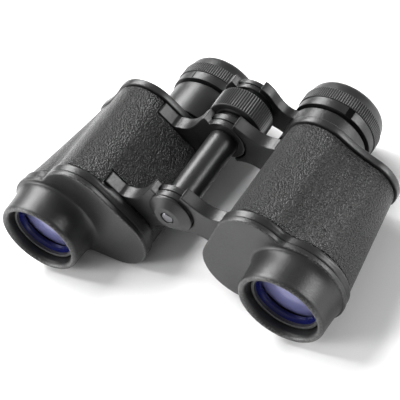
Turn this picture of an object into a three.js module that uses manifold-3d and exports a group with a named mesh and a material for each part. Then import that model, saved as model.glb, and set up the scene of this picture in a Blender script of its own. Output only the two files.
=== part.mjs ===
// Prism binoculars, 8 x 30 class, with a central hinge and a centre focusing wheel.
// Millimetres, +Z up. The objectives face -Y, the eyepieces +Y, +X is the right barrel.
// Every piece is drawn in a frame whose Y axis is the hinge pin, then lifted to rest on z = 0.
import * as THREE from 'three';
import { mergeVertices } from 'three/addons/utils/BufferGeometryUtils.js';
import Module from 'manifold-3d';

const wasm = await Module();
wasm.setup();

// Placement: the middle of the length and the lowest point of the eyepiece rings
const LIFT_Y = -1.95;
const LIFT_Z = 35.9;
const FIT = 0.3;

// Facets round a turned piece: outer skins and inner parts
const ROUND = 32;
const COARSE = 20;

// Optical axes of the right barrel
const OBJ_X = 62.1;
const OBJ_Z = -13.95;
const EYE_X = 32.4;
const EYE_Z = -16.7;
const MID_X = 46.0;
const MID_Z = -0.5;

// Prism housing: circles that its section is wrapped around, front end and rear end
const FRONT_Y = -36.6;
const BAND_Y = -32.6;
const REAR_Y = 18.5;
const FRONT_SECTION = {
  objective: [61.4, -13.3, 22.0],
  top: [45.0, 0.0, 17.3],
  eye: [33.5, -17.3, 17.7],
  waist: [47.0, -15.6, 17.0],
  blend: 6,
};
const REAR_SECTION = {
  objective: [62.0, -14.0, 14.9],
  top: [44.6, 0.2, 16.3],
  eye: [33.0, -17.0, 16.6],
  waist: [47.0, -15.6, 16.2],
  blend: 60,
};
const HIDE = 1.0;
const WALL = 2.3;

// Hinge: the left lugs lie in front of the right lugs at both ends
const LUG_R = 10.0;
const RECESS_R = 10.4;
const HORN_R = 13.4;
const HORN_TOP = { right: 53, left: 59 };
const HORN_BOTTOM = -78;
const PIN_BORE = 5.2;
const FRONT_ARM = [-31.0, -24.8];
const REAR_ARM = [12.0, 18.5];
const BRIDGE_ARM = [35.5, 40.5];

// Focusing wheel
const WHEEL_Y = [21.1, 32.0];
const WHEEL_R = 13.07;
const WHEEL_TEETH = 40;
const SPINDLE_R = 3.2;

const MATERIAL = {
  paint: new THREE.MeshStandardMaterial({ color: 0x1b1b1c, roughness: 0.45, metalness: 0.2 }),
  leather: new THREE.MeshStandardMaterial({ color: 0x161617, roughness: 0.7 }),
  trim: new THREE.MeshStandardMaterial({ color: 0x101011, roughness: 0.5 }),
  bore: new THREE.MeshStandardMaterial({ color: 0x0a0a0b, roughness: 0.9 }),
  steel: new THREE.MeshStandardMaterial({ color: 0x8d9094, roughness: 0.35, metalness: 0.9 }),
  blued: new THREE.MeshStandardMaterial({ color: 0x232427, roughness: 0.3, metalness: 0.8 }),
  coated: new THREE.MeshStandardMaterial({ color: 0x6a6fc0, roughness: 0.05 }),
  glass: new THREE.MeshStandardMaterial({ color: 0xc8d4dc, roughness: 0.05 }),
};

const group = new THREE.Group();
group.name = 'binoculars';

// ---- geometry helpers ----------------------------------------------------------------

function rad(degrees) {
  return (degrees * Math.PI) / 180;
}

function fromTriangles(points, faces) {
  const geometry = new THREE.BufferGeometry();
  geometry.setAttribute('position', new THREE.Float32BufferAttribute(points.flat(), 3));
  geometry.setIndex(faces.flat());
  return geometry;
}

// Signed volume decides which way the faces look; an inside-out shell is turned round
function outward(geometry) {
  const p = geometry.attributes.position;
  const index = geometry.index.array;
  const a = new THREE.Vector3();
  const b = new THREE.Vector3();
  const c = new THREE.Vector3();
  let volume = 0;
  for (let i = 0; i < index.length; i += 3) {
    a.fromBufferAttribute(p, index[i]);
    b.fromBufferAttribute(p, index[i + 1]);
    c.fromBufferAttribute(p, index[i + 2]);
    volume += a.dot(b.cross(c));
  }
  if (volume < 0) {
    for (let i = 0; i < index.length; i += 3) {
      [index[i + 1], index[i + 2]] = [index[i + 2], index[i + 1]];
    }
  }
  return geometry;
}

// Closed belt round a list of circles [x, z, r, points]; a negative r is a hollow bend
function belt(circles, grow = 0) {
  const outline = [];
  const sized = circles.map(([x, z, r, n]) => [x, z, r + grow, n]);
  const normals = sized.map((from, i) => {
    const to = sized[(i + 1) % sized.length];
    const dx = to[0] - from[0];
    const dz = to[1] - from[1];
    const d = Math.hypot(dx, dz);
    const along = THREE.MathUtils.clamp((from[2] - to[2]) / d, -1, 1);
    const across = Math.sqrt(1 - along * along);
    return Math.atan2((along * dz - across * dx) / d, (along * dx + across * dz) / d);
  });
  sized.forEach(([x, z, r, n], i) => {
    const start = normals[(i + sized.length - 1) % sized.length];
    let sweep = normals[i] - start;
    const turn = Math.sign(r);
    while (sweep * turn < -1e-9) sweep += turn * 2 * Math.PI;
    while (sweep * turn > 2 * Math.PI - 1e-6) sweep -= turn * 2 * Math.PI;
    for (let k = 0; k <= n; k += 1) {
      const angle = start + (sweep * k) / n;
      outline.push([x + r * Math.cos(angle), z + r * Math.sin(angle)]);
    }
  });
  return outline;
}

// Hollow bend of radius f that touches two round corners on the outside
function hollow(first, second, f, n) {
  const d = Math.hypot(second[0] - first[0], second[1] - first[1]);
  const a = first[2] + f;
  const b = second[2] + f;
  const along = (a * a - b * b + d * d) / (2 * d);
  const off = Math.sqrt(Math.max(a * a - along * along, 0));
  const ux = (second[0] - first[0]) / d;
  const uz = (second[1] - first[1]) / d;
  return [first[0] + ux * along + uz * off, first[1] + uz * along - ux * off, -f, n];
}

// Outline of a barrel section in the X-Z plane
function section(shape, grow = 0) {
  const { objective, top, eye, waist, blend } = shape;
  return belt([
    [...objective, 10],
    hollow(objective, top, blend, 2),
    [...top, 6],
    [...eye, 7],
    [...waist, 1],
    hollow(waist, objective, blend, 2),
  ], grow);
}

// Barrel section at any station along Y between the front end and the rear end
function sectionAt(y, grow = 0) {
  const t = (y - FRONT_Y) / (REAR_Y - FRONT_Y);
  const front = section(FRONT_SECTION, grow);
  const rear = section(REAR_SECTION, grow);
  return front.map((p, i) => [p[0] + (rear[i][0] - p[0]) * t, p[1] + (rear[i][1] - p[1]) * t]);
}

// Closed skin over rows of matching points; flat is the outline the end caps follow
function skin(rows, flat) {
  const clockwise = THREE.ShapeUtils.isClockWise(flat);
  const outline = clockwise ? [...flat].reverse() : flat;
  const points = rows.flatMap((row) => (clockwise ? [...row].reverse() : row));
  const n = outline.length;
  const last = (rows.length - 1) * n;
  const faces = [];
  for (let start = 0; start < last; start += n) {
    for (let i = 0; i < n; i += 1) {
      const a = start + i;
      const b = start + ((i + 1) % n);
      faces.push([a, b, b + n], [a, b + n, a + n]);
    }
  }
  THREE.ShapeUtils.triangulateShape(outline, []).forEach(([a, b, c]) => {
    faces.push([c, b, a], [a + last, b + last, c + last]);
  });
  return outward(fromTriangles(points, faces));
}

// Solid through a row of outlines [y, outline] with the same number of points
function loft(rows) {
  const flat = rows[0][1].map(([x, z]) => new THREE.Vector2(x, z));
  return skin(rows.map(([y, outline]) => outline.map(([x, z]) => [x, y, z])), flat);
}

function prismOf(outline, y0, y1) {
  return loft([[y0, outline], [y1, outline]]);
}

// Turned piece: profile of [radius, y] round an axis parallel to Y at (x, z).
// The profile is a closed loop, or runs from the axis back to the axis.
function turned(profile, x, z, segments = COARSE) {
  const onAxis = profile[0][0] === 0;
  const points = [];
  const rings = profile.map(([r, y]) => {
    const start = points.length;
    const count = r === 0 ? 1 : segments;
    for (let k = 0; k < count; k += 1) {
      const angle = (2 * Math.PI * k) / segments;
      points.push([x + r * Math.cos(angle), y, z + r * Math.sin(angle)]);
    }
    return [start, count];
  });
  const faces = [];
  const spans = onAxis ? rings.length - 1 : rings.length;
  for (let i = 0; i < spans; i += 1) {
    const [s0, c0] = rings[i];
    const [s1, c1] = rings[(i + 1) % rings.length];
    for (let k = 0; k < segments; k += 1) {
      const next = (k + 1) % segments;
      if (c0 > 1) faces.push([s0 + k, s0 + next, s1 + (c1 > 1 ? k : 0)]);
      if (c1 > 1) faces.push([s1 + k, s0 + (c0 > 1 ? next : 0), s1 + next]);
    }
  }
  return outward(fromTriangles(points, faces));
}

function tube(outer, inner, y0, y1, x, z, segments = COARSE) {
  return turned([[inner, y0], [outer, y0], [outer, y1], [inner, y1]], x, z, segments);
}

function rod(r, y0, y1, x, z, segments = COARSE) {
  return turned([[0, y0], [r, y0], [r, y1], [0, y1]], x, z, segments);
}

function arc(cx, cy, r, from, to, n) {
  const points = [];
  for (let k = 0; k <= n; k += 1) {
    const angle = rad(from + ((to - from) * k) / n);
    points.push([cx + r * Math.cos(angle), cy + r * Math.sin(angle)]);
  }
  return points;
}

function curve(p0, p1, p2, p3, n) {
  const path = new THREE.CubicBezierCurve(
    new THREE.Vector2(...p0),
    new THREE.Vector2(...p1),
    new THREE.Vector2(...p2),
    new THREE.Vector2(...p3),
  );
  return path.getPoints(n).map((p) => [p.x, p.y]);
}

// ---- joining and cutting -------------------------------------------------------------

function toSolid(geometry) {
  const bare = geometry.clone();
  bare.deleteAttribute('normal');
  bare.deleteAttribute('uv');
  const merged = mergeVertices(bare, 1e-4);
  return new wasm.Manifold(new wasm.Mesh({
    numProp: 3,
    vertProperties: new Float32Array(merged.attributes.position.array),
    triVerts: new Uint32Array(merged.index.array),
  }));
}

function fromSolid(solid) {
  const mesh = solid.getMesh();
  const geometry = new THREE.BufferGeometry();
  geometry.setAttribute('position', new THREE.BufferAttribute(mesh.vertProperties, 3));
  geometry.setIndex(Array.from(mesh.triVerts));
  return geometry;
}

function join(...parts) {
  return fromSolid(wasm.Manifold.union(parts.map(toSolid)));
}

function common(a, b) {
  return fromSolid(toSolid(a).intersect(toSolid(b)));
}

function cut(base, ...tools) {
  return fromSolid(toSolid(base).subtract(wasm.Manifold.union(tools.map(toSolid))));
}

// Mirror image in the plane of the hinge pin
function mirrored(geometry) {
  const copy = geometry.clone();
  copy.scale(-1, 1, 1);
  return outward(copy);
}

function add(name, geometry, material) {
  const placed = geometry.clone();
  placed.translate(0, LIFT_Y, LIFT_Z);
  const flat = placed.toNonIndexed();
  flat.computeVertexNormals();
  const mesh = new THREE.Mesh(flat, material);
  mesh.name = name;
  group.add(mesh);
}

// A piece drawn for the right barrel, with its twin on the left
function pair(name, geometry, material) {
  add(`right_${name}`, geometry, material);
  add(`left_${name}`, mirrored(geometry), material);
}

// ---- arms with lugs ------------------------------------------------------------------

function polar(r, degrees) {
  return [r * Math.cos(rad(degrees)), r * Math.sin(rad(degrees))];
}

const HINGE_SIDE = {
  shoulder: 50,
  top: [[12.8, 6.3], [17.1, 0.95], [24.2, 1.7]],
  bottom: [[8.0, -11.0], [13.2, -10.6], [20.0, -20.0]],
};
const BRIDGE_SIDE = {
  shoulder: 33,
  top: [[13.2, 4.2], [14.0, -5.4], [24.0, -3.6]],
  bottom: [[6.5, -10.6], [10.5, -12.2], [17.0, -20.0]],
};

// Side view of an arm from the hinge horns outwards: the top keeps to the horn as far as the
// shoulder, drops, and ends in the tongue. Swell widens it all round.
function armOutline(side, horn, tongue = [], swell = 0) {
  const round = arc(0, 0, HORN_R + swell, horn, side.shoulder, 3).slice(0, -1);
  const drop = curve(polar(HORN_R + swell, side.shoulder), ...side.top, 7);
  const top = [...round, ...drop, ...tongue];
  const bottom = curve(polar(12.3 + swell, HORN_BOTTOM), ...side.bottom, 5);
  const inner = arc(0, 0, 9.0, HORN_BOTTOM, horn, 5).slice(1, -1).reverse();
  return [
    ...bottom.map(([x, z]) => [x, z - swell]),
    ...top.map(([x, z]) => [x, z + swell]).reverse(),
    polar(9.0, horn),
    ...inner,
    polar(9.0, HORN_BOTTOM),
  ];
}

// Tongue that carries a hinge arm on up the flat side of the barrel, just proud of the leatherette
const TONGUE = [[25.7, 2.0], [27.6, 3.7], [31.5, 9.3], [33.8, 7.8]];

function tongueAt(y) {
  const t = (y - FRONT_Y) / (REAR_Y - FRONT_Y);
  return TONGUE.map(([x, z]) => [x + 0.4 * t, z - 0.15 * t]);
}

function hingeOutline(range, horn, swell = 0) {
  return armOutline(HINGE_SIDE, horn, tongueAt((range[0] + range[1]) / 2), swell);
}

// Arm with one lug; lugFirst puts the lug at the front half of the arm's length
function arm(range, outline, lugFirst) {
  const middle = (range[0] + range[1]) / 2;
  const lug = lugFirst ? [range[0], middle - FIT / 2] : [middle + FIT / 2, range[1]];
  const clear = lugFirst ? [middle - FIT / 2, range[1] + 1] : [range[0] - 1, middle + FIT / 2];
  const blade = cut(
    prismOf(outline, range[0], range[1]),
    rod(RECESS_R, clear[0], clear[1], 0, 0, ROUND),
  );
  return join(blade, rod(LUG_R, lug[0], lug[1], 0, 0, ROUND));
}

// ---- prism housings ------------------------------------------------------------------

function housing(lugFirst) {
  const body = loft([
    [FRONT_Y, sectionAt(FRONT_Y, -0.9)],
    [(FRONT_Y + BAND_Y) / 2, sectionAt(FRONT_Y, -0.3)],
    [BAND_Y, sectionAt(BAND_Y, -0.9)],
    [BAND_Y, sectionAt(BAND_Y, -1.0 - HIDE - FIT)],
    [REAR_Y, sectionAt(REAR_Y, -1.0 - HIDE - FIT)],
  ]);
  const inset = -1.0 - HIDE - FIT - WALL;
  const frontRoom = loft([
    [FRONT_Y - 1, sectionAt(FRONT_Y - 1, inset)],
    [-8, sectionAt(-8, inset)],
  ]);
  const rearRoom = loft([
    [-5, sectionAt(-5, inset)],
    [REAR_Y + 1, sectionAt(REAR_Y + 1, inset)],
  ]);
  const windows = [[OBJ_X, OBJ_Z], [MID_X, MID_Z], [EYE_X, EYE_Z]].map(
    ([x, z]) => rod(7.6, -9, -4, x, z, 12),
  );
  const horn = lugFirst ? HORN_TOP.left : HORN_TOP.right;
  const arms = [FRONT_ARM, REAR_ARM].map(
    (range) => arm(range, hingeOutline(range, horn), lugFirst),
  );
  const root = common(
    loft([[BAND_Y - 0.5, sectionAt(BAND_Y, -1.0)], [FRONT_ARM[0] + 0.5, sectionAt(BAND_Y, -1.0)]]),
    prismOf(hingeOutline(FRONT_ARM, horn), BAND_Y - 0.3, FRONT_ARM[0] + 0.3),
  );
  return cut(
    join(body, root, ...arms),
    frontRoom,
    rearRoom,
    ...windows,
    rod(PIN_BORE, FRONT_ARM[0] - 1, REAR_ARM[1] + 1, 0, 0),
  );
}

function leatherette() {
  const y0 = BAND_Y + FIT;
  const y1 = REAR_Y - 0.2;
  const cover = cut(
    loft([[y0, sectionAt(y0, -1.0)], [y1, sectionAt(y1, -1.0)]]),
    loft([[y0 - 1, sectionAt(y0 - 1, -1.0 - HIDE)], [y1 + 1, sectionAt(y1 + 1, -1.0 - HIDE)]]),
  );
  return cut(
    cover,
    prismOf(hingeOutline(FRONT_ARM, HORN_TOP.left, 0.7), BAND_Y - 1, FRONT_ARM[1] + 0.7),
    prismOf(hingeOutline(REAR_ARM, HORN_TOP.left, 0.7), REAR_ARM[0] - 0.7, REAR_Y + 1),
  );
}

add('right_prism_housing', housing(false), MATERIAL.paint);
add('left_prism_housing', mirrored(housing(true)), MATERIAL.paint);
pair('leatherette', leatherette(), MATERIAL.leather);

// ---- front covers and objectives -----------------------------------------------------

function frontCover() {
  const plate = loft([
    [-39.3, section(FRONT_SECTION, -0.9)],
    [-38.6, section(FRONT_SECTION, 0)],
    [-36.9, section(FRONT_SECTION, -0.2)],
  ]);
  const barrel = turned([
    [0, -38.0],
    [21.4, -38.0],
    [20.4, -41.0],
    [19.6, -45.0],
    [19.3, -50.6],
    [0, -50.6],
  ], OBJ_X, OBJ_Z, ROUND);
  return cut(join(plate, barrel), rod(17.4, -52, -36, OBJ_X, OBJ_Z, ROUND));
}

pair('front_cover', frontCover(), MATERIAL.paint);
pair('objective_rim', turned([
  [16.0, -47.9],
  [17.1, -47.9],
  [17.1, -50.9],
  [19.3, -50.9],
  [19.3, -52.6],
  [18.3, -54.0],
  [17.3, -54.0],
  [16.0, -52.0],
], OBJ_X, OBJ_Z, ROUND), MATERIAL.paint);
pair('objective_cell', turned([
  [15.4, -37.6],
  [17.1, -37.6],
  [17.1, -47.6],
  [15.7, -47.6],
  [15.7, -41.0],
  [13.8, -41.0],
  [13.8, -40.0],
  [15.4, -40.0],
], OBJ_X, OBJ_Z), MATERIAL.bore);
pair('objective_lens', turned([
  [0, -46.6],
  [5.0, -46.3],
  [10.0, -45.4],
  [15.1, -43.6],
  [15.4, -43.3],
  [15.4, -41.3],
  [0, -41.6],
], OBJ_X, OBJ_Z), MATERIAL.coated);
pair('objective_ring', turned([
  [14.0, -49.5],
  [15.3, -49.5],
  [15.3, -44.2],
  [12.6, -45.1],
  [12.6, -45.9],
  [14.0, -48.0],
], OBJ_X, OBJ_Z), MATERIAL.bore);

// ---- prisms --------------------------------------------------------------------------

// Right-angled prism lying across two axes, with its long face at y0 and its ridge at y1
function prism(a, b, y0, y1) {
  const ux = (b[0] - a[0]) / Math.hypot(b[0] - a[0], b[1] - a[1]);
  const uz = (b[1] - a[1]) / Math.hypot(b[0] - a[0], b[1] - a[1]);
  const cx = (a[0] + b[0]) / 2;
  const cz = (a[1] + b[1]) / 2;
  const at = (along, across, y) => [cx + ux * along - uz * across, y, cz + uz * along + ux * across];
  const points = [];
  [-8, 8].forEach((across) => {
    points.push(at(-17, across, y0), at(17, across, y0), at(0, across, y1));
  });
  const faces = [[0, 1, 2], [3, 5, 4], [0, 3, 4], [0, 4, 1], [1, 4, 5], [1, 5, 2], [2, 5, 3], [2, 3, 0]];
  return outward(fromTriangles(points, faces));
}

// Spring strap over the ridge of a prism, with a foot on each side of it
function strap(a, b, y0, y1) {
  const dir = Math.sign(y1 - y0);
  const angle = Math.atan2(b[1] - a[1], b[0] - a[0]);
  const bend = [
    [-10.3, y0], [-8.6, y0], [-8.6, y1 + 0.3 * dir], [8.6, y1 + 0.3 * dir], [8.6, y0], [10.3, y0],
    [10.3, y0 + 0.7 * dir], [9.3, y0 + 0.7 * dir], [9.3, y1 + 1 * dir], [-9.3, y1 + 1 * dir],
    [-9.3, y0 + 0.7 * dir], [-10.3, y0 + 0.7 * dir],
  ];
  const rows = [-3, 3].map((along) => bend.map(([w, y]) => [
    (a[0] + b[0]) / 2 + Math.cos(angle) * along - Math.sin(angle) * w,
    y,
    (a[1] + b[1]) / 2 + Math.sin(angle) * along + Math.cos(angle) * w,
  ]));
  return skin(rows, bend.map(([w, y]) => new THREE.Vector2(w, y)));
}

const OBJ = [OBJ_X, OBJ_Z];
const MID = [MID_X, MID_Z];
const EYE = [EYE_X, EYE_Z];
pair('rear_prism', prism(OBJ, MID, -4.7, 12.3), MATERIAL.glass);
pair('front_prism', prism(MID, EYE, -8.3, -25.3), MATERIAL.glass);
pair('rear_prism_strap', strap(OBJ, MID, -4.7, 12.3), MATERIAL.steel);
pair('front_prism_strap', strap(MID, EYE, -8.3, -25.3), MATERIAL.steel);

// ---- rear covers ---------------------------------------------------------------------

function rearCover() {
  const plate = loft([
    [18.8, section(REAR_SECTION, -0.2)],
    [21.2, section(REAR_SECTION, 0)],
    [22.0, section(REAR_SECTION, -0.9)],
  ]);
  const neck = rod(15.9, 21.0, 34.0, EYE_X, EYE_Z);
  const lugRoom = rod(RECESS_R + 0.4, 17, 24, 0, 0, ROUND);
  return cut(join(plate, neck), rod(14.8, 17, 35, EYE_X, EYE_Z), lugRoom);
}

pair('rear_cover', rearCover(), MATERIAL.paint);

// ---- ocular bridge -------------------------------------------------------------------

function bridgeArm(lugFirst) {
  const outline = armOutline(BRIDGE_SIDE, lugFirst ? HORN_TOP.left : HORN_TOP.right);
  return cut(
    join(arm(BRIDGE_ARM, outline, lugFirst), rod(17.5, 23.4, 40.5, EYE_X, EYE_Z, ROUND)),
    rod(16.2, 22, 36.5, EYE_X, EYE_Z),
    rod(14.8, 36, 39, EYE_X, EYE_Z),
    rod(16.6, 38.9, 42, EYE_X, EYE_Z),
    rod(SPINDLE_R + FIT, 34, 42, 0, 0),
  );
}

add('right_bridge_arm', bridgeArm(false), MATERIAL.paint);
add('left_bridge_arm', mirrored(bridgeArm(true)), MATERIAL.paint);

// ---- eyepieces -----------------------------------------------------------------------

pair('ocular_tube', turned([
  [13.2, 24.5],
  [14.5, 24.5],
  [14.5, 40.1],
  [16.3, 40.1],
  [16.3, 41.5],
  [14.5, 41.5],
  [14.5, 52.3],
  [11.5, 52.3],
  [11.5, 51.3],
  [13.2, 51.3],
], EYE_X, EYE_Z), MATERIAL.bore);
pair('field_lens', turned([
  [0, 30.0],
  [12.9, 30.0],
  [12.9, 31.6],
  [8.0, 33.4],
  [0, 34.2],
], EYE_X, EYE_Z), MATERIAL.glass);
pair('eye_lens', turned([
  [0, 44.6],
  [8.0, 45.2],
  [12.9, 47.0],
  [12.9, 49.6],
  [11.9, 50.9],
  [6.0, 51.0],
  [0, 51.0],
], EYE_X, EYE_Z), MATERIAL.coated);
pair('dioptre_ring', turned([
  [14.8, 41.8],
  [18.5, 41.8],
  [18.5, 46.0],
  [14.8, 46.0],
], EYE_X, EYE_Z, ROUND), MATERIAL.paint);

function knurled(r, depth, teeth) {
  const outline = [];
  for (let k = 0; k < teeth * 2; k += 1) {
    outline.push(polar(k % 2 ? r - depth : r, (180 * k) / teeth));
  }
  return outline;
}

function shifted(outline, x, z) {
  return outline.map(([a, b]) => [a + x, b + z]);
}

function knurledRing() {
  const grip = shifted(knurled(19.0, 0.4, 40), EYE_X, EYE_Z);
  return cut(prismOf(grip, 46.3, 51.9), rod(14.8, 46, 53, EYE_X, EYE_Z));
}

pair('knurled_ring', knurledRing(), MATERIAL.trim);
pair('eyecup', turned([
  [13.2, 52.6],
  [14.8, 52.6],
  [14.8, 52.2],
  [18.3, 52.2],
  [17.3, 56.8],
  [16.5, 57.9],
  [15.2, 57.9],
  [13.2, 54.2],
], EYE_X, EYE_Z, ROUND), MATERIAL.trim);

// ---- hinge and focusing gear ---------------------------------------------------------

add('hinge_pin', tube(4.9, 3.6, FRONT_ARM[0] + 0.1, 21.0, 0, 0), MATERIAL.steel);
add('hinge_tube', tube(6.6, 5.2, FRONT_ARM[1] + FIT, REAR_ARM[0] - FIT, 0, 0), MATERIAL.paint);
add('hinge_cap', turned([
  [0, -31.3],
  [10.2, -31.3],
  [10.0, -32.4],
  [6.0, -34.9],
  [3.0, -34.9],
  [3.0, -33.8],
  [0, -33.8],
], 0, 0), MATERIAL.paint);
add('cap_screw', turned([
  [0, -34.1],
  [2.6, -34.1],
  [2.6, -34.8],
  [1.8, -35.2],
  [0, -35.3],
], 0, 0), MATERIAL.blued);
add('hinge_nut', tube(8.4, 5.2, 18.8, 20.8, 0, 0), MATERIAL.trim);

function focusWheel() {
  const grip = knurled(WHEEL_R, 0.45, WHEEL_TEETH);
  const rim = loft([
    [WHEEL_Y[0], grip.map(([x, z]) => [x * 0.965, z * 0.965])],
    [WHEEL_Y[0] + 0.7, grip],
    [WHEEL_Y[1] - 0.7, grip],
    [WHEEL_Y[1], grip.map(([x, z]) => [x * 0.965, z * 0.965])],
  ]);
  return cut(rim, rod(SPINDLE_R + FIT, 20, 33, 0, 0));
}

add('focus_wheel', focusWheel(), MATERIAL.trim);
add('focus_spindle', turned([
  [0, -6],
  [SPINDLE_R, -6],
  [SPINDLE_R, 33.5],
  [6.0, 33.5],
  [6.0, 35.2],
  [SPINDLE_R, 35.2],
  [SPINDLE_R, 42.6],
  [0, 42.6],
], 0, 0), MATERIAL.steel);
add('bridge_cap', turned([
  [SPINDLE_R + FIT, 40.8],
  [7.4, 40.8],
  [7.4, 42.0],
  [6.4, 43.0],
  [0, 43.6],
  [0, 42.9],
  [SPINDLE_R + FIT, 42.9],
].reverse(), 0, 0), MATERIAL.blued);

export default group;
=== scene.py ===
import bmesh
import bpy
import math
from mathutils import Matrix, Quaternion, Vector


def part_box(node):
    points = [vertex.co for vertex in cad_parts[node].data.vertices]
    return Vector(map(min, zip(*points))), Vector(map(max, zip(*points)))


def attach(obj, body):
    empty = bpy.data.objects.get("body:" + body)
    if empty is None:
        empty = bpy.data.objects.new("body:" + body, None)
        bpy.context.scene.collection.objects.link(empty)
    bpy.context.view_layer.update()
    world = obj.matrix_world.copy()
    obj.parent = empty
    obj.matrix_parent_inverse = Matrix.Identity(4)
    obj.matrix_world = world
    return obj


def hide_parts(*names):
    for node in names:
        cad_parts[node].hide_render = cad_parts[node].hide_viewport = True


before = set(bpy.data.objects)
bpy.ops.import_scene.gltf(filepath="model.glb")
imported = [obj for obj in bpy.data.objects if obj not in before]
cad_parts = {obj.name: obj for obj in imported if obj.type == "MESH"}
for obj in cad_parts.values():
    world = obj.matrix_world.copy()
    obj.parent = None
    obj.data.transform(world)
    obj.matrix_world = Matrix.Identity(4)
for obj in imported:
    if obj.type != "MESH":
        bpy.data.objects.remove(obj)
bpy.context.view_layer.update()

# ---- the model's frame: millimetres round the hinge pin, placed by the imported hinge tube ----
MM = 0.001
TUBE_FRONT = -24.5
_lo, _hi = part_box("hinge_tube")
DZ = (_lo.z + _hi.z) / 2 / MM
DY = _lo.y / MM - TUBE_FRONT

OBJ_X, OBJ_Z = 62.1, -13.95
EYE_X, EYE_Z = 32.4, -16.7
FRONT_Y, BAND_Y, REAR_Y = -36.6, -32.6, 18.5
FRONT_SECTION = dict(objective=(61.4, -13.3, 22.0), top=(45.0, 0.0, 17.3),
                     eye=(33.5, -17.3, 17.7), waist=(47.0, -15.6, 17.0), blend=6)
REAR_SECTION = dict(objective=(62.0, -14.0, 14.9), top=(44.6, 0.2, 16.3),
                    eye=(33.0, -17.0, 16.6), waist=(47.0, -15.6, 16.2), blend=60)
LUG_R, RECESS_R, HORN_R, HORN_BOTTOM = 10.0, 10.4, 13.4, -78
LUG_GAP = 0.3
HORN_TOP = {1: 53, -1: 59}
FRONT_ARM, REAR_ARM, BRIDGE_ARM = (-31.0, -24.8), (12.0, 18.5), (35.5, 40.5)
HINGE_SIDE = (50, [(12.8, 6.3), (17.1, 0.95), (24.2, 1.7)], [(8.0, -11.0), (13.2, -10.6), (20.0, -20.0)])
BRIDGE_SIDE = (33, [(13.2, 4.2), (14.0, -5.4), (24.0, -3.6)], [(6.5, -10.6), (10.5, -12.2), (17.0, -20.0)])
TUBE_R, TUBE_BORE_R, TUBE_TIP_Y = 19.3, 17.4, -50.6
PLATE_Y, SEAT_Y = -39.3, -36.9
FILLET_R = 21.8
DOME_R, DOME_EDGE_R, DOME_EDGE_Y = 41.0, 15.4, -43.2
NECK_R = 14.8
MARK_RING_R, GRIP_R, WHEEL_R = 18.5, 19.0, 13.07
GRIP_TEETH, GRIP_DEPTH = 108, 0.42
WHEEL_TEETH, WHEEL_DEPTH = 68, 0.55
VOXEL = 0.00025


def put(p):
    return Vector((p[0] * MM, (p[1] + DY) * MM, (p[2] + DZ) * MM))


# ---- outlines ----

def belt(circles, grow=0.0):
    """Closed belt round circles (x, z, r, points, points on the straight after it) in the X-Z plane.

    A negative r is a hollow bend.
    """
    sized = [(x, z, r + grow, n) for x, z, r, n, _ in circles]
    normals = []
    for i, (x0, z0, r0, _) in enumerate(sized):
        x1, z1, r1, _ = sized[(i + 1) % len(sized)]
        dx, dz = x1 - x0, z1 - z0
        d = math.hypot(dx, dz)
        along = max(-1.0, min(1.0, (r0 - r1) / d))
        across = math.sqrt(1 - along * along)
        normals.append(math.atan2((along * dz - across * dx) / d, (along * dx + across * dz) / d))
    arcs = []
    for i, (x, z, r, n) in enumerate(sized):
        start = normals[i - 1]
        sweep = normals[i] - start
        turn = 1 if r > 0 else -1
        while sweep * turn < -1e-9:
            sweep += turn * 2 * math.pi
        while sweep * turn > 2 * math.pi - 1e-6:
            sweep -= turn * 2 * math.pi
        angles = [start + sweep * k / n for k in range(n + 1)]
        arcs.append([(x + r * math.cos(a), z + r * math.sin(a)) for a in angles])
    outline = []
    for i, points in enumerate(arcs):
        (x0, z0), (x1, z1) = points[-1], arcs[(i + 1) % len(arcs)][0]
        m = circles[i][4] + 1
        straight = [(x0 + (x1 - x0) * k / m, z0 + (z1 - z0) * k / m) for k in range(1, m)]
        outline += points + straight if straight else points[:-1]
    return outline


def hollow(first, second, f, n):
    """Hollow bend of radius f touching two round corners on the outside."""
    dx, dz = second[0] - first[0], second[1] - first[1]
    d = math.hypot(dx, dz)
    a, b = first[2] + f, second[2] + f
    along = (a * a - b * b + d * d) / (2 * d)
    off = math.sqrt(max(a * a - along * along, 0))
    return (first[0] + dx / d * along + dz / d * off, first[1] + dz / d * along - dx / d * off, -f, n, 0)


def section(shape, grow=0.0):
    o, t, e, w, f = (shape[k] for k in ("objective", "top", "eye", "waist", "blend"))
    return belt([(*o, 60, 0), hollow(o, t, f, 10), (*t, 36, 12), (*e, 44, 8), (*w, 1, 0),
                 hollow(w, o, f, 10)], grow)


def section_at(y, grow=0.0):
    t = (y - FRONT_Y) / (REAR_Y - FRONT_Y)
    return [(a[0] + (b[0] - a[0]) * t, a[1] + (b[1] - a[1]) * t)
            for a, b in zip(section(FRONT_SECTION, grow), section(REAR_SECTION, grow))]


def bezier(p0, p1, p2, p3, n):
    out = []
    for k in range(n + 1):
        t = k / n
        w = ((1 - t) ** 3, 3 * t * (1 - t) ** 2, 3 * t * t * (1 - t), t ** 3)
        out.append(tuple(sum(c * p[i] for c, p in zip(w, (p0, p1, p2, p3))) for i in (0, 1)))
    return out


def polar(r, degrees):
    return (r * math.cos(math.radians(degrees)), r * math.sin(math.radians(degrees)))


def arm_outline(shape, horn, inner, tongue=(), swell=0.0):
    """Side view of an arm: lower edge outwards, back along the tongue and top to the horn, round the pin."""
    shoulder, top, bottom = shape
    low = bezier(polar(12.3 + swell, HORN_BOTTOM), *bottom, 24)
    edge = [polar(HORN_R + swell, horn + (shoulder - horn) * k / 6) for k in range(6)]
    edge += bezier(polar(HORN_R + swell, shoulder), *top, 30) + list(tongue)
    pin = [polar(inner, horn + (HORN_BOTTOM - horn) * k / 24) for k in range(25)]
    return [(x, z - swell) for x, z in low] + [(x, z + swell) for x, z in reversed(edge)] + pin


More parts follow.
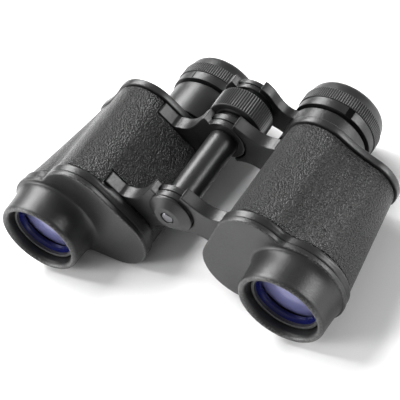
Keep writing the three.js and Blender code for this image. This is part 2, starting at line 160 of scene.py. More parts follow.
def tongue_at(y):
    """Tongue that carries a hinge arm on up the flat side of the barrel, just proud of the covering."""
    t = (y - FRONT_Y) / (REAR_Y - FRONT_Y)
    run = [(24.9, 1.75), (25.8, 2.0), (26.75, 2.6), (27.65, 3.75), (29.6, 6.5), (31.2, 8.8),
           (31.7, 9.0), (33.8, 7.8)]
    return [(x + 0.4 * t, z - 0.15 * t) for x, z in run]


# ---- meshes ----

def make(name, verts, faces, body, material, nodes=(), sharp=40, side=1):
    """A shaded mesh that rides on a body; side -1 is its mirror image on the left."""
    if side < 0:
        verts = [(-x, y, z) for x, y, z in verts]
        faces = [tuple(reversed(f)) for f in faces]
    me = bpy.data.meshes.new(name)
    me.from_pydata([put(v) for v in verts], [], faces)
    me.validate()
    ob = bpy.data.objects.new(name, me)
    bpy.context.scene.collection.objects.link(ob)
    finish_mesh(ob, sharp)
    dress(ob, body, material, nodes)
    return ob


def finish_mesh(ob, sharp):
    me = ob.data
    me.polygons.foreach_set("use_smooth", [True] * len(me.polygons))
    me.set_sharp_from_angle(angle=math.radians(sharp))
    me.update()


def dress(ob, body, material, nodes):
    ob.data.materials.clear()
    ob.data.materials.append(material)
    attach(ob, body)
    if nodes:
        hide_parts(*nodes)


def apply(ob):
    """Bakes an object's modifiers into its mesh."""
    bpy.context.view_layer.update()
    dg = bpy.context.evaluated_depsgraph_get()
    me = bpy.data.meshes.new_from_object(ob.evaluated_get(dg))
    ob.modifiers.clear()
    old = ob.data
    ob.data = me
    bpy.data.meshes.remove(old)


def skin_faces(rows, n, loop=False):
    """Quads between closed rings of n points; loop joins the last ring to the first."""
    faces = []
    for r in range(rows if loop else rows - 1):
        s = (r + 1) % rows
        for i in range(n):
            j = (i + 1) % n
            faces.append((r * n + i, r * n + j, s * n + j, s * n + i))
    return faces


def turned_verts(profile, x, z, n, wave=None):
    """Rings of a turned piece; wave is (teeth, depth, y from, y to) for a knurl on its largest radius."""
    top = max(r for r, _ in profile)
    verts = []
    for r, y in profile:
        for k in range(n):
            a = 2 * math.pi * k / n
            rr = r
            if wave and wave[2] <= y <= wave[3] and r > top - 0.02:
                phase = (k * wave[0] / n) % 1.0
                rr -= wave[1] * min(1.0, 1.35 * abs(2 * phase - 1))
            verts.append((x + rr * math.cos(a), y, z + rr * math.sin(a)))
    return verts


def soften(profile, closed, steps=5):
    """Rounds the corners of a profile: each point is (r, y) or (r, y, radius)."""
    out, n = [], len(profile)
    for i, p in enumerate(profile):
        f = p[2] if len(p) > 2 else 0
        if not f or (not closed and i in (0, n - 1)):
            out.append((p[0], p[1]))
            continue
        a, b = profile[i - 1], profile[(i + 1) % n]
        da, db = math.dist(a[:2], p[:2]), math.dist(b[:2], p[:2])
        ta, tb = min(f / da, 0.48), min(f / db, 0.48)
        q0 = (p[0] + (a[0] - p[0]) * ta, p[1] + (a[1] - p[1]) * ta)
        q1 = (p[0] + (b[0] - p[0]) * tb, p[1] + (b[1] - p[1]) * tb)
        for k in range(steps + 1):
            t = k / steps
            out.append(tuple(q0[c] * (1 - t) ** 2 + 2 * p[c] * t * (1 - t) + q1[c] * t * t for c in (0, 1)))
    return out


def turned(name, profile, x, z, body, material, nodes=(), side=1, n=128, wave=None, sharp=50):
    """Turned piece from a closed loop of (r, y[, corner radius]), or a run from the axis to the axis."""
    solid = profile[0][0] == 0
    pts = soften(profile, not solid)
    rings = [p for p in pts if p[0] > 0]
    verts = turned_verts(rings, x, z, n, wave)
    faces = skin_faces(len(rings), n, loop=not solid)
    if solid:
        last = (len(rings) - 1) * n
        verts += [(x, pts[0][1], z), (x, pts[-1][1], z)]
        base = len(verts) - 2
        for k in range(n):
            j = (k + 1) % n
            faces.append((base, j, k))
            faces.append((base + 1, last + k, last + j))
    area = sum(a[0] * b[1] - b[0] * a[1] for a, b in zip(pts, pts[1:] + pts[:1]))
    if area < 0:
        faces = [tuple(reversed(f)) for f in faces]
    return make(name, verts, faces, body, material, nodes, sharp, side)


def loft(name, rows, body, material, nodes=(), side=1, sharp=50):
    """Tube of rows of points, each closed, whose last row joins the first."""
    n = len(rows[0])
    verts = [p for row in rows for p in row]
    faces = [tuple(reversed(f)) for f in skin_faces(len(rows), n, loop=True)]
    return make(name, verts, faces, body, material, nodes, sharp, side)


def row(y, outline):
    return [(x, y, z) for x, z in outline]


# ---- materials ----

class Nodes:
    """Small helper round a material's node tree."""

    def __init__(self, name, slot):
        self.mat = bpy.data.materials.new(name)
        self.mat.use_nodes = True
        self.mat["slot"] = slot
        self.tree = self.mat.node_tree
        self.tree.nodes.clear()
        self.out = self.add("ShaderNodeOutputMaterial")
        self.bsdf = self.add("ShaderNodeBsdfPrincipled")
        self.link(self.bsdf.outputs[0], self.out.inputs["Surface"])
        self.coord = self.add("ShaderNodeTexCoord").outputs["Object"]

    def add(self, kind, **settings):
        node = self.tree.nodes.new(kind)
        for key, value in settings.items():
            setattr(node, key, value)
        return node

    def link(self, a, b):
        self.tree.links.new(a, b)

    def noise(self, scale, detail=4.0, rough=0.5):
        node = self.add("ShaderNodeTexNoise")
        node.inputs["Scale"].default_value = scale
        node.inputs["Detail"].default_value = detail
        node.inputs["Roughness"].default_value = rough
        self.link(self.coord, node.inputs["Vector"])
        return node.outputs["Fac"]

    def cells(self, scale, smooth):
        node = self.add("ShaderNodeTexVoronoi", feature="SMOOTH_F1")
        node.inputs["Scale"].default_value = scale
        node.inputs["Smoothness"].default_value = smooth
        self.link(self.coord, node.inputs["Vector"])
        return node.outputs["Distance"]

    def span(self, value, lo, hi, out_lo, out_hi):
        node = self.add("ShaderNodeMapRange")
        node.inputs["From Min"].default_value = lo
        node.inputs["From Max"].default_value = hi
        node.inputs["To Min"].default_value = out_lo
        node.inputs["To Max"].default_value = out_hi
        self.link(value, node.inputs["Value"])
        return node.outputs["Result"]

    def math(self, op, a, b):
        node = self.add("ShaderNodeMath", operation=op)
        for socket, value in zip(node.inputs, (a, b)):
            if isinstance(value, (int, float)):
                socket.default_value = value
            else:
                self.link(value, socket)
        return node.outputs[0]

    def axes(self):
        node = self.add("ShaderNodeSeparateXYZ")
        self.link(self.coord, node.inputs[0])
        return node.outputs

    def blend(self, factor, base, colour):
        node = self.add("ShaderNodeMix", data_type="RGBA")
        self.link(factor, node.inputs[0])
        self.link(base, node.inputs[6])
        node.inputs[7].default_value = (*colour, 1)
        return node.outputs[2]

    def ramp(self, value, stops):
        node = self.add("ShaderNodeValToRGB")
        while len(node.color_ramp.elements) < len(stops):
            node.color_ramp.elements.new(0.5)
        for element, (place, colour) in zip(node.color_ramp.elements, stops):
            element.position = place
            element.color = (*colour, 1)
        self.link(value, node.inputs["Fac"])
        return node.outputs["Color"]

    def bump(self, height, distance, strength=1.0, under=None):
        node = self.add("ShaderNodeBump")
        node.inputs["Strength"].default_value = strength
        node.inputs["Distance"].default_value = distance
        self.link(height, node.inputs["Height"])
        if under is not None:
            self.link(under, node.inputs["Normal"])
        return node.outputs["Normal"]

    def set(self, **values):
        for key, value in values.items():
            self.bsdf.inputs[key.replace("_", " ")].default_value = value


def grey(v, blue=1.04):
    return (v, v, v * blue)


def paint(name, slot, tone, rough, worn=None, peel=0.00008):
    """Stoved black paint on cast alloy: orange-peel, patchy gloss, and lighter edges that are partly paint
    wear and partly painted highlight.

    The fifth argument gives the first and last station, in millimetres along Y, of an edge painted lighter,
    partly for paint wear and partly as painted highlight.
    """
    m = Nodes(name, slot)
    peel_map = m.noise(1500, 4.0, 0.6)
    broad = m.noise(90, 3.0)
    dust = m.noise(1100, 5.0, 0.7)
    base = m.ramp(broad, [(0.3, grey(tone * 0.8)), (0.7, grey(tone * 1.25))])
    if worn:
        along = m.axes()["Y"]
        first, last = ((y + DY) * MM for y in worn)
        # Lighter edge band: partly paint wear, partly painted highlight on the edge.
        near = m.math("MULTIPLY", m.span(along, first - 0.00002, first, 0, 1),
                      m.span(along, last, last + 0.0006, 1, 0))
        wear_and_painted_highlight = m.math("MULTIPLY", near, m.span(dust, 0.45, 0.65, 0.0, 1.0))
        base = m.blend(wear_and_painted_highlight, base, (0.10, 0.098, 0.095))
    m.link(base, m.bsdf.inputs["Base Color"])
    m.link(m.span(dust, 0.3, 0.7, rough - 0.06, rough + 0.08), m.bsdf.inputs["Roughness"])
    m.link(m.bump(peel_map, peel, 0.8, m.bump(broad, 0.0001, 0.25)), m.bsdf.inputs["Normal"])
    return m.mat


def leatherette():
    """Black pebble-grain covering: rounded pebbles of about a millimetre, with painted shade darkening the
    creases between them.
    """
    m = Nodes("leatherette", "leatherette")
    warp = m.add("ShaderNodeVectorMath", operation="MULTIPLY_ADD")
    swirl = m.add("ShaderNodeTexNoise")
    swirl.inputs["Scale"].default_value = 300
    m.link(m.coord, swirl.inputs["Vector"])
    m.link(swirl.outputs["Color"], warp.inputs[0])
    warp.inputs[1].default_value = (0.0001, 0.0001, 0.0001)
    m.link(m.coord, warp.inputs[2])
    m.coord = warp.outputs[0]
    pebble = m.cells(1250, 0.15)
    small = m.cells(3000, 0.3)
    height = m.math("ADD", m.math("MULTIPLY", pebble, -1.0), m.math("MULTIPLY", small, -0.3))
    # Painted shade: colour falls to near black in the creases between pebbles, so the pebble tops read
    # lighter.
    painted_crease_shade = m.span(pebble, 0.25, 0.6, 1.0, 0.0)
    patch = m.noise(60, 4.0)
    tone = m.math("MULTIPLY", painted_crease_shade, m.span(patch, 0.3, 0.7, 0.8, 1.0))
    m.link(m.ramp(tone, [(0.0, grey(0.001)), (0.5, grey(0.010)), (1.0, grey(0.045))]),
           m.bsdf.inputs["Base Color"])
    m.link(m.span(patch, 0.3, 0.7, 0.32, 0.40), m.bsdf.inputs["Roughness"])
    m.link(m.bump(height, 0.0009, 1.0), m.bsdf.inputs["Normal"])
    m.set(Specular_IOR_Level=0.6)
    return m.mat


def plain(name, slot, colour, rough, grain=0.0, gloss=0.5):
    """Dull inside paint or ink, with a fine mottle and an optional grain."""
    m = Nodes(name, slot)
    fine = m.noise(1800, 4.0)
    dark = tuple(c * 0.85 for c in colour)
    light = tuple(min(1.0, c * 1.15) for c in colour)
    m.link(m.ramp(fine, [(0.3, dark), (0.7, light)]), m.bsdf.inputs["Base Color"])
    m.link(m.span(fine, 0.3, 0.7, rough * 0.9, min(1.0, rough * 1.12)), m.bsdf.inputs["Roughness"])
    m.set(Specular_IOR_Level=gloss)
    if grain:
        m.link(m.bump(fine, grain, 0.5), m.bsdf.inputs["Normal"])
    return m.mat


def knurled(name, x, z, r, depth):
    """Semi-matt black knurl about an axis: painted shade darkens the grooves against lighter crests, and the
    grooves are rougher.
    """
    m = Nodes(name, "black_trim")
    axes = m.axes()
    dx = m.math("SUBTRACT", m.math("ABSOLUTE", axes["X"], 0.0), x * MM)
    dz = m.math("SUBTRACT", axes["Z"], (z + DZ) * MM)
    radius = m.math("SQRT", m.math("ADD", m.math("MULTIPLY", dx, dx), m.math("MULTIPLY", dz, dz)), 0.0)
    # Painted shade: 0 in the groove bottoms, painted near black, to 1 on the crests; it also sets the
    # roughness.
    depth_and_painted_shade = m.span(radius, (r - depth) * MM, r * MM, 0.0, 1.0)
    m.link(m.ramp(depth_and_painted_shade, [(0.15, grey(0.002)), (0.85, grey(0.045))]), m.bsdf.inputs["Base Color"])
    m.link(m.span(depth_and_painted_shade, 0.2, 0.9, 0.7, 0.28), m.bsdf.inputs["Roughness"])
    m.link(m.bump(m.noise(1600, 3.0), 0.00002, 0.5), m.bsdf.inputs["Normal"])
    return m.mat


def turned_steel(name, slot, colour, rough):
    """Turned metal: fine rings round the Y axis."""
    m = Nodes(name, slot)
    wave = m.add("ShaderNodeTexWave", bands_direction="Y")
    wave.inputs["Scale"].default_value = 900
    wave.inputs["Distortion"].default_value = 1.5
    m.link(m.coord, wave.inputs["Vector"])
    m.link(m.ramp(m.noise(700), [(0.3, tuple(c * 0.85 for c in colour)), (0.7, colour)]),
           m.bsdf.inputs["Base Color"])
    m.link(m.bump(wave.outputs["Fac"], 0.00001, 0.3), m.bsdf.inputs["Normal"])
    m.set(Metallic=1.0, Roughness=rough)
    return m.mat


def coated(name, painted_sheen, rough=0.3):
    """Coated lens, drawn opaque: a cloudy violet-blue painted reflection of the coating and the glass behind
    it, as base colour under a glossy coat.
    """
    m = Nodes(name, "coated_glass")
    cloud = m.noise(70, 3.0)
    # Painted reflection: the base colour stands for light mirrored by the coating and the inner lens
    # surfaces.
    m.link(m.ramp(cloud, [(0.3, tuple(c * 0.88 for c in painted_sheen)), (0.7, painted_sheen)]),
           m.bsdf.inputs["Base Color"])
    m.set(Metallic=0.35, Roughness=rough, Coat_Weight=0.5, Coat_Roughness=0.1)
    return m.mat


def bevelled_ring():
    """Retaining ring: black face, and its sloped inner edge painted deep blue as a painted reflection of the
    lens coating.
    """
    m = Nodes("retaining_ring", "matt_bore")
    # Painted reflection: from its sloped inner edge backwards the ring is coloured deep blue, standing for
    # the lens coating mirrored in it.
    painted_reflection_band = m.span(m.axes()["Y"], (-48.1 + DY) * MM, (-47.9 + DY) * MM, 0.0, 1.0)
    fine = m.noise(1800, 4.0)
    face = m.ramp(fine, [(0.35, grey(0.02)), (0.7, grey(0.05))])
    m.link(m.blend(painted_reflection_band, face, (0.006, 0.008, 0.075)), m.bsdf.inputs["Base Color"])
    m.link(m.span(painted_reflection_band, 0.0, 1.0, 0.45, 0.25), m.bsdf.inputs["Roughness"])
    return m.mat


def clear_glass():
    m = Nodes("prism_glass", "prism_glass")
    m.link(m.ramp(m.noise(40), [(0.3, (0.80, 0.86, 0.88)), (0.7, (0.88, 0.92, 0.93))]),
           m.bsdf.inputs["Base Color"])
    m.set(Roughness=0.02, Transmission_Weight=0.9, IOR=1.52)
    return m.mat


BLACK = paint("black_paint", "black_paint", 0.012, 0.33)
# The cover and rim materials get lighter edge bands, partly paint wear and partly painted highlight.
COVER = paint("cover_paint", "black_paint", 0.013, 0.36, worn=(-39.28, -39.0))
RIM = paint("worn_paint", "black_paint", 0.014, 0.36, worn=(-54.5, -53.4), peel=0.0001)
HIDE = leatherette()
TRIM = paint("black_trim", "black_trim", 0.012, 0.34)
BORE = plain("matt_bore", "matt_bore", (0.010, 0.010, 0.011), 0.7, grain=0.00004)
MARK = plain("mark_black", "black_trim", (0.002, 0.002, 0.002), 0.8, gloss=0.05)
RING_KNURL = knurled("ring_knurl", EYE_X, EYE_Z, GRIP_R, GRIP_DEPTH)
WHEEL_KNURL = knurled("wheel_knurl", 0.0, 0.0, WHEEL_R, WHEEL_DEPTH)
STEEL = turned_steel("spring_steel", "spring_steel", (0.55, 0.56, 0.58), 0.3)
BLUED = turned_steel("blued_steel", "blued_steel", (0.15, 0.15, 0.16), 0.2)
BEVEL = bevelled_ring()
# These lens base colours are painted reflection of the coating and the glass behind it.
OBJECTIVE_GLASS = coated("objective_glass", (0.15, 0.155, 0.33), 0.4)
EYE_GLASS = coated("eye_glass", (0.16, 0.15, 0.30), 0.2)
CLEAR = clear_glass()

# CAD nodes that stay as they are: the parts shut inside the barrels
KEPT = {
    "objective_cell": BORE, "front_prism": CLEAR, "rear_prism": CLEAR, "front_prism_strap": STEEL,
    "rear_prism_strap": STEEL, "field_lens": CLEAR, "hinge_pin": STEEL, "focus_spindle": STEEL,
}
for node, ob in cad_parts.items():
    kind = node.replace("right_", "").replace("left_", "")
    if kind in KEPT:
        ob.data.materials.clear()
        ob.data.materials.append(KEPT[kind])


# ---- barrels ----

def smoothstep(a, b, v):
    t = max(0.0, min(1.0, (v - a) / (b - a)))
    return t * t * (3 - 2 * t)


def housing_core(side, name, half):
    """Painted casting under the covering, with the rolled band in front and a shoulder behind."""
    profile = [
        (FRONT_Y, -3.6), (FRONT_Y, -1.1), (FRONT_Y + 0.1, -0.8), (FRONT_Y + 0.4, -0.6),
        (FRONT_Y + 1.1, -0.5), (FRONT_Y + 1.9, -0.3), (FRONT_Y + 2.6, -0.12), (FRONT_Y + 3.1, -0.15),
        (FRONT_Y + 3.6, -0.42), (BAND_Y, -0.95), (BAND_Y + 0.25, -2.2), (BAND_Y + 2.0, -2.3),
        (-8.0, -2.3), (8.0, -2.3),
        (REAR_Y, -2.3), (REAR_Y, -4.6), (-8.0, -4.6), (FRONT_Y + 3.0, -4.6),
    ]
    rows = []
    for y, grow in profile:
        outline = section_at(y, grow)
        band = FRONT_Y + 2.9 < y <= BAND_Y + 0.25
        rows.append([(x, y + (1.6 * root_weight(x, z) if band else 0.0), z) for x, z in outline])
    return loft(f"{name}_housing_shell", rows, half, BLACK, side=side, sharp=60)


def root_weight(x, z):
    """1 where the front arm grows out of the band, 0 elsewhere."""
    if x > 34:
        return 0.0
    return smoothstep(-19.5, -16.5, z) * (1 - smoothstep(5.0, 8.0, z))


def hide(side, name, half):
    """Covering wrapped round the casting, 1 mm thick, with its edges turned down."""
    y0, y1 = BAND_Y + 0.3, REAR_Y - 0.2
    n = 46
    ys = [y0 + (y1 - y0) * k / n for k in range(n + 1)]
    rows = [row(y0, section_at(y0, -1.75)), row(y0 + 0.12, section_at(y0, -1.25))]
    rows += [row(y0 + 0.45, section_at(y0, -1.02))]
    rows += [row(y, section_at(y, -1.0)) for y in ys[1:-1]]
    rows += [row(y1 - 0.45, section_at(y1, -1.02)), row(y1 - 0.12, section_at(y1, -1.25))]
    rows += [row(y1, section_at(y1, -1.75))]
    rows += [row(y, section_at(y, -2.05)) for y in (y1 - 0.2, 0.0, y0 + 0.2)]
    ob = loft(f"{name}_covering", rows, half, HIDE, [f"{name}_leatherette"], side, sharp=60)
    for a, b, span in ((BAND_Y - 1, FRONT_ARM[1] + 0.5, FRONT_ARM),
                       (REAR_ARM[0] - 0.5, REAR_Y + 1, REAR_ARM)):
        outline = arm_outline(HINGE_SIDE, HORN_TOP[side], 9.0, tongue_at(sum(span) / 2), 0.5)
        carve(ob, [row(a, outline), row(b, outline)], side)
    finish_mesh(ob, 40)
    return ob


def carve(ob, rows, side):
    """Cuts the solid between two outlines out of a piece."""
    n = len(rows[0])
    verts = [(x * side, y, z) for r in rows for x, y, z in r]
    faces = skin_faces(2, n) + [tuple(reversed(range(n))), tuple(range(n, 2 * n))]
    me = bpy.data.meshes.new("cutter")
    me.from_pydata([put(v) for v in verts], [], faces)
    cutter = bpy.data.objects.new("cutter", me)
    bpy.context.scene.collection.objects.link(cutter)
    fix_normals(cutter)
    mod = ob.modifiers.new("cut", "BOOLEAN")
    mod.object, mod.operation, mod.solver = cutter, "DIFFERENCE", "EXACT"
    keep = list(ob.data.materials)
    apply(ob)
    ob.data.materials.clear()
    for m in keep:
        ob.data.materials.append(m)
    ob.data.polygons.foreach_set("material_index", [0] * len(ob.data.polygons))
    bpy.data.objects.remove(cutter)


def fix_normals(ob):
    bm = bmesh.new()
    bm.from_mesh(ob.data)
    bmesh.ops.recalc_face_normals(bm, faces=bm.faces)
    bm.to_mesh(ob.data)
    bm.free()


def front_cover(side, name, half):
    """Cover plate with its rolled edge, swept up into the objective tube."""
    spokes = []
    for x, z in section(FRONT_SECTION, -0.75):
        d = math.hypot(x - OBJ_X, z - OBJ_Z)
        spokes.append(((x - OBJ_X) / d, (z - OBJ_Z) / d, d, min(FILLET_R, d)))

    def spoke_row(place):
        line = []
        for ux, uz, d, foot in spokes:
            r, y = place(d, foot)
            line.append((OBJ_X + ux * r, y, OBJ_Z + uz * r))
        return line

    def wall(d, foot, t):
        open_side = smoothstep(FILLET_R - 1.0, FILLET_R, foot)
        path = ((TUBE_R, TUBE_TIP_Y), (TUBE_R + 0.2, TUBE_TIP_Y + 7.5),
                (TUBE_R + 0.4 - 0.1 * open_side, PLATE_Y - 1.6 + 1.5 * open_side), (foot, PLATE_Y))
        w = ((1 - t) ** 3, 3 * t * (1 - t) ** 2, 3 * t * t * (1 - t), t ** 3)
        return tuple(sum(c * p[i] for c, p in zip(w, path)) for i in (0, 1))

    wall_rows, plate_rows = 22, 5
    rows = [spoke_row(lambda d, foot: wall(d, foot, k / wall_rows)) for k in range(wall_rows + 1)]
    rows += [spoke_row(lambda d, foot: (foot + (d - foot) * k / plate_rows, PLATE_Y))
             for k in range(1, plate_rows + 1)]
    for y, grow in ((-39.27, -0.45), (-39.15, -0.2), (-38.95, -0.04), (-38.7, 0.0), (-37.4, -0.02),
                    (-37.0, -0.12), (SEAT_Y, -0.4)):
        rows.append(row(y, section(FRONT_SECTION, grow)))
    for y, r in ((SEAT_Y, TUBE_BORE_R), (-44.0, TUBE_BORE_R - 0.05), (-50.3, TUBE_BORE_R),
                 (TUBE_TIP_Y, TUBE_BORE_R)):
        rows.append(spoke_row(lambda d, foot: (r, y)))
    return loft(f"{name}_front_shell", rows, half, COVER, [f"{name}_front_cover"], side)


def rear_cover(side, name, half):
    """Flange that closes the back of the barrel, with the hole of the eyepiece neck."""
    rows = []
    for y, grow in ((18.6, -3.0), (18.6, -0.5), (18.7, -0.2), (18.9, -0.04), (19.2, 0.0), (21.4, 0.0),
                    (21.7, -0.06), (21.9, -0.25), (22.0, -0.55), (22.0, -4.0)):
        rows.append(row(y, section(REAR_SECTION, grow)))
    for y in (22.0, 18.6):
        angles = [math.atan2(z - EYE_Z, x - EYE_X) for x, _, z in rows[-1]]
        rows.append([(EYE_X + NECK_R * math.cos(a), y, EYE_Z + NECK_R * math.sin(a)) for a in angles])
    return loft(f"{name}_rear_plate", rows, half, BLACK, side=side)


def casting(name, parts, body, nodes, side):
    """Melts overlapping closed solids into one skin with soft edges, like a painted casting."""
    verts, faces = [], []
    for v, f in parts:
        base = len(verts)
        verts += v
        faces += [tuple(i + base for i in face) for face in f]
    ob = make(name, verts, faces, body, BLACK, nodes, 60, side)
    fix_normals(ob)
    mod = ob.modifiers.new("melt", "REMESH")
    mod.mode, mod.voxel_size, mod.adaptivity = "VOXEL", VOXEL, 0.0
    soft = ob.modifiers.new("soft", "SMOOTH")
    soft.factor, soft.iterations = 0.5, 10
    apply(ob)
    ob.data.materials.clear()
    ob.data.materials.append(BLACK)
    finish_mesh(ob, 180)
    return ob


def slab(outline, y0, y1):
    """Closed plate with an outline in the X-Z plane."""
    n = len(outline)
    verts = row(y0, outline) + row(y1, outline)
    return verts, skin_faces(2, n) + [tuple(reversed(range(n))), tuple(range(n, 2 * n))]


def ring(outer, inner, y0, y1, n=96):
    """Closed ring about the pin."""
    profile = [(inner, y0), (outer, y0), (outer, y1), (inner, y1)]
    return turned_verts(profile, 0.0, 0.0, n), skin_faces(4, n, loop=True)


def arm_parts(span, shape, side, bore, tongue=()):
    """Blade of an arm with one lug round the pin and a round recess for the other side's lug."""
    middle = (span[0] + span[1]) / 2
    lug = (span[0], middle - LUG_GAP / 2) if side < 0 else (middle + LUG_GAP / 2, span[1])
    horn = HORN_TOP[side]
    return [
        slab(arm_outline(shape, horn, RECESS_R, tongue), *span),
        slab(arm_outline(shape, horn, 8.0, tongue), *lug),
        ring(LUG_R, bore, *lug),
    ]


def dome():
    """Profile of the lens front, from the axis to its edge."""
    rise = math.sqrt(DOME_R ** 2 - DOME_EDGE_R ** 2)
    radii = [DOME_EDGE_R * k / 24 for k in range(25)]
    return [(r, DOME_EDGE_Y - math.sqrt(DOME_R ** 2 - r ** 2) + rise) for r in radii]


for side, name, half, bridge in ((1, "right", "right_half", "right_bridge"),
                                 (-1, "left", "left_half", "left_bridge")):
    ocular, head = ("right_ocular", "right_head") if side > 0 else (bridge, bridge)
    housing_core(side, name, half)
    hide(side, name, half)
    for label, span in (("front", FRONT_ARM), ("rear", REAR_ARM)):
        nodes = [f"{name}_prism_housing"] if label == "front" else []
        parts = arm_parts(span, HINGE_SIDE, side, 5.2, tongue_at(sum(span) / 2))
        casting(f"{name}_{label}_arm", parts, half, nodes, side)
    front_cover(side, name, half)
    turned(f"{name}_rim", [
        (16.0, -47.9), (17.1, -47.9), (17.1, -50.62), (19.3, -50.62), (19.3, -52.7, 1.3),
        (18.4, -54.0, 1.2), (17.2, -54.0, 1.1), (16.0, -52.1, 0.9),
    ], OBJ_X, OBJ_Z, half, RIM, [f"{name}_objective_rim"], side, n=160)
    turned(f"{name}_lens_ring", [
        (14.0, -49.5, 0.2), (15.3, -49.5, 0.2), (15.3, -44.2), (13.1, -45.0), (13.1, -46.3, 0.1),
        (14.0, -48.0),
    ], OBJ_X, OBJ_Z, half, BEVEL, [f"{name}_objective_ring"], side)
    turned(f"{name}_objective_glass", dome() + [(DOME_EDGE_R, -41.3), (0, -41.6)],
           OBJ_X, OBJ_Z, half, OBJECTIVE_GLASS, [f"{name}_objective_lens"], side)
    rear_cover(side, name, half)
    turned(f"{name}_rear_neck", [(14.8, 21.0), (15.9, 21.0), (15.9, 34.0, 0.3), (14.8, 34.0, 0.3)],
           EYE_X, EYE_Z, half, BLACK, [f"{name}_rear_cover"], side)

    casting(f"{name}_bridge_blade", arm_parts(BRIDGE_ARM, BRIDGE_SIDE, side, 3.5), bridge, [], side)
    turned(f"{name}_collar", [
        (16.2, 23.4, 0.2), (17.5, 23.4, 0.4), (17.5, 40.5, 0.5), (16.6, 40.5, 0.2), (16.6, 38.9),
        (14.8, 38.9), (14.8, 36.5), (16.2, 36.5),
    ], EYE_X, EYE_Z, bridge, BLACK, [f"{name}_bridge_arm"], side, n=160)
    turned(f"{name}_ocular", [
        (13.2, 24.5), (14.5, 24.5), (14.5, 40.1), (16.3, 40.1, 0.2), (16.3, 41.5, 0.2), (14.5, 41.5),
        (14.5, 52.3, 0.2), (11.5, 52.3, 0.4), (11.5, 51.3), (13.2, 51.3),
    ], EYE_X, EYE_Z, ocular, BORE, [f"{name}_ocular_tube"], side)
    turned(f"{name}_eye_glass", [
        (0, 44.6), (8.0, 45.2), (12.9, 47.0), (12.9, 49.6), (11.9, 50.9, 0.2), (6.0, 51.0), (0, 51.0),
    ], EYE_X, EYE_Z, ocular, EYE_GLASS, [f"{name}_eye_lens"], side)
    turned(f"{name}_mark_ring", [
        (14.8, 41.8, 0.2), (MARK_RING_R, 41.8, 0.4), (MARK_RING_R, 46.2), (14.8, 46.2),
    ], EYE_X, EYE_Z, head, BLACK, [f"{name}_dioptre_ring"], side, n=160)
    turned(f"{name}_grip", [
        (14.8, 46.22), (18.45, 46.22), (18.8, 46.35), (GRIP_R, 46.6), (GRIP_R, 51.6), (18.8, 51.85),
        (18.4, 52.0), (14.8, 52.0),
    ], EYE_X, EYE_Z, head, RING_KNURL, [f"{name}_knurled_ring"], side, n=9 * GRIP_TEETH,
        wave=(GRIP_TEETH, GRIP_DEPTH, 46.6, 51.6))
    turned(f"{name}_cup", [
        (13.2, 52.6, 0.2), (14.8, 52.6), (14.8, 52.03), (18.35, 52.03), (18.2, 53.2, 0.5),
        (17.7, 56.4, 1.4), (16.6, 57.9, 1.0), (15.2, 57.9, 0.8), (13.2, 54.2, 0.4),
    ], EYE_X, EYE_Z, head, TRIM, [f"{name}_eyecup"], side, n=160)


def mark(name, x, a0, a1, body):
    """Black index mark let into a smooth ring between two angles, standing a hair proud of it."""
    n, proud, deep = 12, 0.03, 0.3
    outer = [(MARK_RING_R + proud, a0 + (a1 - a0) * k / n) for k in range(n + 1)]
    inner = [(MARK_RING_R - deep, a1 + (a0 - a1) * k / n) for k in range(n + 1)]
    outline = [(x + q * math.cos(math.radians(a)), EYE_Z + q * math.sin(math.radians(a)))
               for q, a in outer + inner]
    verts, faces = slab(outline, 41.95, 46.15)
    fix_normals(make(name, verts, faces, body, MARK, sharp=30))


mark("right_index", EYE_X, 44.5, 54.5, "right_head")
mark("left_index", -EYE_X, 98.6, 100.2, "left_bridge")


# ---- hinge and focusing gear ----
turned("centre_tube", [
    (5.2, -24.5), (6.6, -24.5, 0.4), (6.6, 11.7, 0.4), (5.2, 11.7),
], 0, 0, "right_half", BLACK, ["hinge_tube"])
turned("pin_cap", [
    (0, -31.25), (9.9, -31.25, 0.2), (10.2, -31.5, 0.2), (10.2, -32.2, 0.2), (9.7, -32.6, 0.3),
    (6.0, -34.85, 0.3), (5.6, -34.9), (3.3, -34.9, 0.15), (3.05, -34.6), (3.0, -33.8), (0, -33.8),
], 0, 0, "right_half", BLACK, ["hinge_cap"])
turned("pin_screw", [
    (0, -34.1), (2.75, -34.1), (2.75, -34.6, 0.2), (2.45, -34.9, 0.3), (1.9, -35.12, 0.4),
    (1.1, -35.26), (0, -35.3),
], 0, 0, "right_half", BLUED, ["cap_screw"], n=64)
turned("lock_ring", [
    (5.2, 18.8, 0.2), (8.4, 18.8, 0.4), (8.4, 20.8, 0.4), (5.2, 20.8, 0.2),
], 0, 0, "right_half", TRIM, ["hinge_nut"])
turned("wheel", [
    (3.6, 21.1, 0.2), (9.2, 21.1, 0.3), (9.8, 21.5, 0.3), (12.4, 21.1, 0.3), (12.9, 21.5),
    (WHEEL_R, 21.9), (WHEEL_R, 31.2), (12.9, 31.6), (12.4, 32.0, 0.3), (9.8, 31.6, 0.3), (3.6, 31.6),
], 0, 0, "focus_wheel", WHEEL_KNURL, ["focus_wheel"], n=12 * WHEEL_TEETH,
    wave=(WHEEL_TEETH, WHEEL_DEPTH, 21.9, 31.2))
turned("bridge_nut", [
    (0, 42.9), (3.5, 42.9), (3.5, 40.8), (7.4, 40.8, 0.3), (7.4, 42.0, 0.5), (6.4, 43.0, 0.5),
    (3.0, 43.5), (0, 43.6),
], 0, 0, "spindle", BLUED, ["bridge_cap"], n=96)

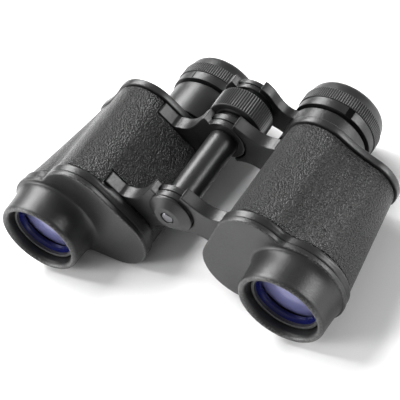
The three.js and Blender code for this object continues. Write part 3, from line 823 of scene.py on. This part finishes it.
# ---- floor, light and camera ----
FLOOR = 4.0
AIM = Vector((0, 0, 0.03))
scene = bpy.context.scene
me = bpy.data.meshes.new("floor")
me.from_pydata([(-FLOOR, -FLOOR, 0), (FLOOR, -FLOOR, 0), (FLOOR, FLOOR, 0), (-FLOOR, FLOOR, 0)], [],
               [(0, 1, 2, 3)])
floor = bpy.data.objects.new("floor", me)
scene.collection.objects.link(floor)
fm = bpy.data.materials.new("floor")
fm.use_nodes = True
fm.node_tree.nodes["Principled BSDF"].inputs["Base Color"].default_value = (0.93, 0.93, 0.93, 1)
fm.node_tree.nodes["Principled BSDF"].inputs["Roughness"].default_value = 0.9
me.materials.append(fm)

world = bpy.data.worlds.new("studio")
world.use_nodes = True
world.node_tree.nodes["Background"].inputs["Color"].default_value = (1, 1, 1, 1)
world.node_tree.nodes["Background"].inputs["Strength"].default_value = 0.34
scene.world = world
scene.view_settings.view_transform = "Standard"


def softbox(name, place, size, power):
    light = bpy.data.lights.new(name, "AREA")
    light.shape, light.size, light.size_y, light.energy = "RECTANGLE", size[0], size[1], power
    ob = bpy.data.objects.new(name, light)
    ob.location = place
    ob.rotation_mode = "QUATERNION"
    ob.rotation_quaternion = (AIM - Vector(place)).to_track_quat("-Z", "Y")
    scene.collection.objects.link(ob)


softbox("key", (-0.62, 0.08, 0.85), (0.6, 0.6), 15)
softbox("from_behind", (-0.62, 0.58, 0.74), (0.5, 0.4), 8)
softbox("from_right", (0.85, 0.45, 0.35), (0.3, 0.5), 6)
softbox("from_front", (-0.85, -0.75, 0.45), (0.5, 0.4), 10)

# Photographer's place, the point looked at, and the tilt of the camera about its line of sight
PLACE = Vector((0.3652, -0.3507, 0.4836))
TARGET = Vector((0.0002, -0.0159, 0.0255))
TILT = -21.95
cam = bpy.data.cameras.new("camera")
cam.lens, cam.sensor_width = 143.6, 36.0
cam.clip_start, cam.clip_end = 0.01, 20
camera = bpy.data.objects.new("camera", cam)
scene.collection.objects.link(camera)
camera.location = PLACE
camera.rotation_mode = "QUATERNION"
look = (TARGET - PLACE).to_track_quat("-Z", "Y")
camera.rotation_quaternion = look @ Quaternion((0, 0, 1), math.radians(TILT))
scene.camera = camera
